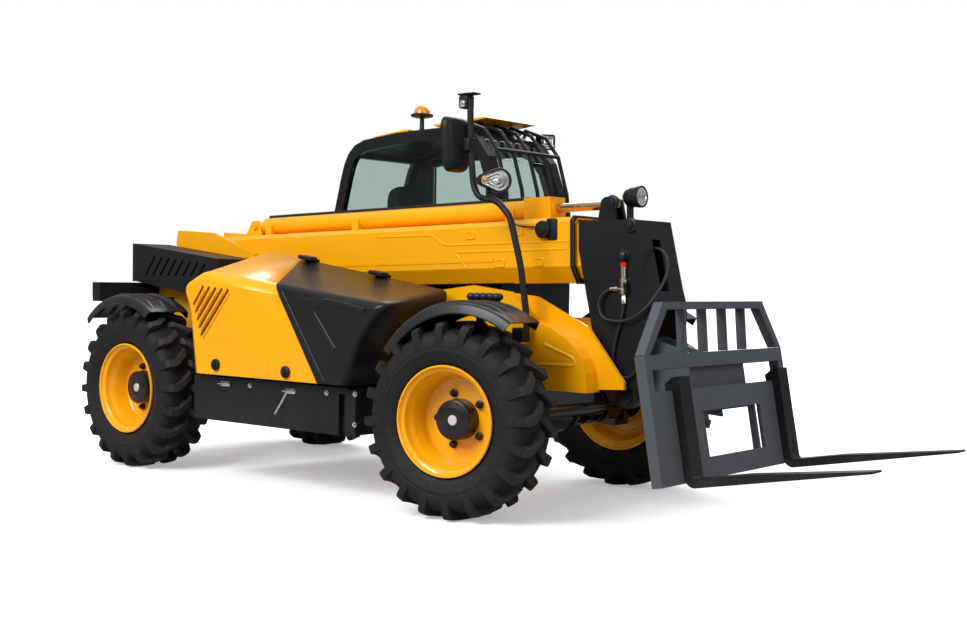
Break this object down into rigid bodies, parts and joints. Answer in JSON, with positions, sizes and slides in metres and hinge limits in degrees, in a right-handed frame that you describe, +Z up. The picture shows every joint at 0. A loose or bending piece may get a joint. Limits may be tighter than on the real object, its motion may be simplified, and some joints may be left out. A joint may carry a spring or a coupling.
{
  "type": "telehandler",
  "caption": "Telescopic handler with a side cab, a long boom that extends, a hinged engine hood beside it, fork carriage and steered wheels front and rear.",
  "frame": {"origin": "on the ground under the middle of the overall box", "axes": "+X forward toward the fork tips, +Y to the machine's left, +Z up"},
  "size_m": [6.2256, 2.3656, 2.7237],
  "materials": {
    "yellow_paint": "gloss yellow paint",
    "rim_paint": "gloss yellow paint on the rims",
    "black_paint": "satin black paint",
    "cast_weight": "painted cast iron",
    "black_plastic": "moulded black plastic",
    "slate_paint": "dark slate paint",
    "bright_rod": "hard chrome rods",
    "tyre_rubber": "black rubber",
    "hose_rubber": "black hydraulic hose",
    "window_glass": "tinted safety glass",
    "amber_lens": "amber lens",
    "lamp_shell": "black lamp shell with a clear front",
    "seat_cloth": "black seat cloth"
  },
  "bodies": {
    "chassis": {"chassis_frame": "yellow_paint", "front_axle": "black_paint", "rear_axle": "black_paint", "driveline": "black_paint", "engine_block": "cast_weight", "engine_bay_frame": "black_plastic", "side_skirt": "black_plastic", "fuel_tank": "black_plastic", "rear_cover": "black_plastic", "counterweight": "cast_weight", "rear_light_bar": "black_plastic", "cab_frame": "black_paint", "cab_roof": "yellow_paint", "cab_windows": "window_glass", "cab_guard": "black_paint", "cab_console": "black_plastic", "seat": "seat_cloth", "steering_column": "black_plastic", "beacon": "amber_lens", "lamps": "lamp_shell", "mirror_pole": "black_paint"},
    "engine_hood": {"hood_panel": "yellow_paint", "hood_front": "black_plastic"},
    "door": {"cab_door": "black_paint", "door_glass": "window_glass"},
    "boom": {"boom_outer": "yellow_paint", "lift_lugs": "yellow_paint", "extend_barrel": "yellow_paint"},
    "boom_extension": {"boom_inner": "yellow_paint", "boom_head": "black_paint", "head_hose": "hose_rubber", "feed_hose": "hose_rubber", "extend_rod": "bright_rod"},
    "tool": {"quick_hitch": "slate_paint", "fork_carriage": "slate_paint", "load_guard": "slate_paint", "forks": "black_paint"},
    "lift_cylinder": {"lift_barrel": "black_paint"},
    "lift_piston": {"lift_rod": "bright_rod"},
    "tilt_cylinder": {"tilt_barrel": "black_paint"},
    "tilt_piston": {"tilt_rod": "bright_rod"},
    "front_right_hub": {"front_right_knuckle": "black_paint", "front_right_fender": "black_plastic"},
    "front_right_wheel": {"front_right_rim": "rim_paint", "front_right_tyre": "tyre_rubber"},
    "front_left_hub": {"front_left_knuckle": "black_paint", "front_left_fender": "black_plastic"},
    "front_left_wheel": {"front_left_rim": "rim_paint", "front_left_tyre": "tyre_rubber"},
    "front_tie_rod": {"front_steer_rod": "bright_rod"},
    "rear_right_hub": {"rear_right_knuckle": "black_paint", "rear_right_fender": "black_plastic"},
    "rear_right_wheel": {"rear_right_rim": "rim_paint", "rear_right_tyre": "tyre_rubber"},
    "rear_left_hub": {"rear_left_knuckle": "black_paint", "rear_left_fender": "black_plastic"},
    "rear_left_wheel": {"rear_left_rim": "rim_paint", "rear_left_tyre": "tyre_rubber"},
    "rear_tie_rod": {"rear_steer_rod": "bright_rod"}
  },
  "joints": [
    {"name": "hood_open", "type": "hinge", "parent": "chassis", "child": "engine_hood", "pos_m": [-1.01228, -0.471, 1.52361], "axis": [-0.989, 0, 0.1479], "range_deg": [0, 60]},
    {"name": "door_open", "type": "hinge", "parent": "chassis", "child": "door", "pos_m": [-1.4193, 1.07, 1.64975], "axis": [0, 0, 1], "range_deg": [0, 90]},
    {"name": "boom_lift", "type": "hinge", "parent": "chassis", "child": "boom", "pos_m": [-2.6428, 0, 1.58], "axis": [0, -1, 0], "range_deg": [-3, 65]},
    {"name": "boom_extend", "type": "slide", "parent": "boom", "child": "boom_extension", "axis": [0.9997, 0, 0.0227], "range_m": [0, 2.6]},
    {"name": "tool_tilt", "type": "hinge", "parent": "boom_extension", "child": "tool", "pos_m": [1.40274, 0, 0.72056], "axis": [0, 1, 0], "range_deg": [-8, 50]},
    {"name": "lift_barrel_swing", "type": "hinge", "parent": "chassis", "child": "lift_cylinder", "pos_m": [-2.3428, 0, 0.85], "axis": [0, -1, 0], "range_deg": [-2.62, 54.38]},
    {"name": "lift_rod_out", "type": "slide", "parent": "lift_cylinder", "child": "lift_piston", "axis": [0.9457, 0, 0.3249], "range_m": [-0.0397, 0.8179]},
    {"name": "tilt_barrel_swing", "type": "hinge", "parent": "boom_extension", "child": "tilt_cylinder", "pos_m": [1.07179, 0, 1.6843], "axis": [0, 1, 0], "range_deg": [-10.81, 1.83]},
    {"name": "tilt_rod_out", "type": "slide", "parent": "tilt_cylinder", "child": "tilt_piston", "axis": [0.4552, 0, -0.8904], "range_m": [-0.0349, 0.2079]},
    {"name": "front_right_steer", "type": "hinge", "parent": "chassis", "child": "front_right_hub", "pos_m": [0.6572, -0.8, 0.585], "axis": [0, 0, 1], "range_deg": [-44, 26]},
    {"name": "front_right_spin", "type": "hinge", "parent": "front_right_hub", "child": "front_right_wheel", "pos_m": [0.67472, -0.91062, 0.585], "axis": [-0.1564, 0.9877, 0], "continuous": true},
    {"name": "front_left_steer", "type": "hinge", "parent": "chassis", "child": "front_left_hub", "pos_m": [0.6572, 0.8, 0.585], "axis": [0, 0, 1], "range_deg": [-44, 26]},
    {"name": "front_left_spin", "type": "hinge", "parent": "front_left_hub", "child": "front_left_wheel", "pos_m": [0.63968, 0.91062, 0.585], "axis": [-0.1564, 0.9877, 0], "continuous": true},
    {"name": "front_rod_shift", "type": "slide", "parent": "chassis", "child": "front_tie_rod", "axis": [0, 1, 0], "range_m": [-0.1187, 0.071]},
    {"name": "rear_right_steer", "type": "hinge", "parent": "chassis", "child": "rear_right_hub", "pos_m": [-2.4628, -0.8, 0.585], "axis": [0, 0, 1], "range_deg": [-35, 35]},
    {"name": "rear_right_spin", "type": "hinge", "parent": "rear_right_hub", "child": "rear_right_wheel", "pos_m": [-2.4628, -0.912, 0.585], "axis": [0, 1, 0], "continuous": true},
    {"name": "rear_left_steer", "type": "hinge", "parent": "chassis", "child": "rear_left_hub", "pos_m": [-2.4628, 0.8, 0.585], "axis": [0, 0, 1], "range_deg": [-35, 35]},
    {"name": "rear_left_spin", "type": "hinge", "parent": "rear_left_hub", "child": "rear_left_wheel", "pos_m": [-2.4628, 0.912, 0.585], "axis": [0, 1, 0], "continuous": true},
    {"name": "rear_rod_shift", "type": "slide", "parent": "chassis", "child": "rear_tie_rod", "axis": [0, 1, 0], "range_m": [-0.0949, 0.0949]}
  ],
  "couplings": [
    {"joint": "lift_barrel_swing", "follows": "boom_lift", "ratio": 0.8348},
    {"joint": "lift_rod_out", "follows": "boom_lift", "m_per_rad": 0.7192},
    {"joint": "tilt_barrel_swing", "follows": "tool_tilt", "ratio": -0.2139},
    {"joint": "tilt_rod_out", "follows": "tool_tilt", "m_per_rad": 0.2359},
    {"joint": "front_left_steer", "follows": "front_right_steer", "ratio": 1},
    {"joint": "front_rod_shift", "follows": "front_right_steer", "m_per_rad": 0.152},
    {"joint": "rear_left_steer", "follows": "rear_right_steer", "ratio": 1},
    {"joint": "rear_rod_shift", "follows": "rear_right_steer", "m_per_rad": -0.152}
  ]
}
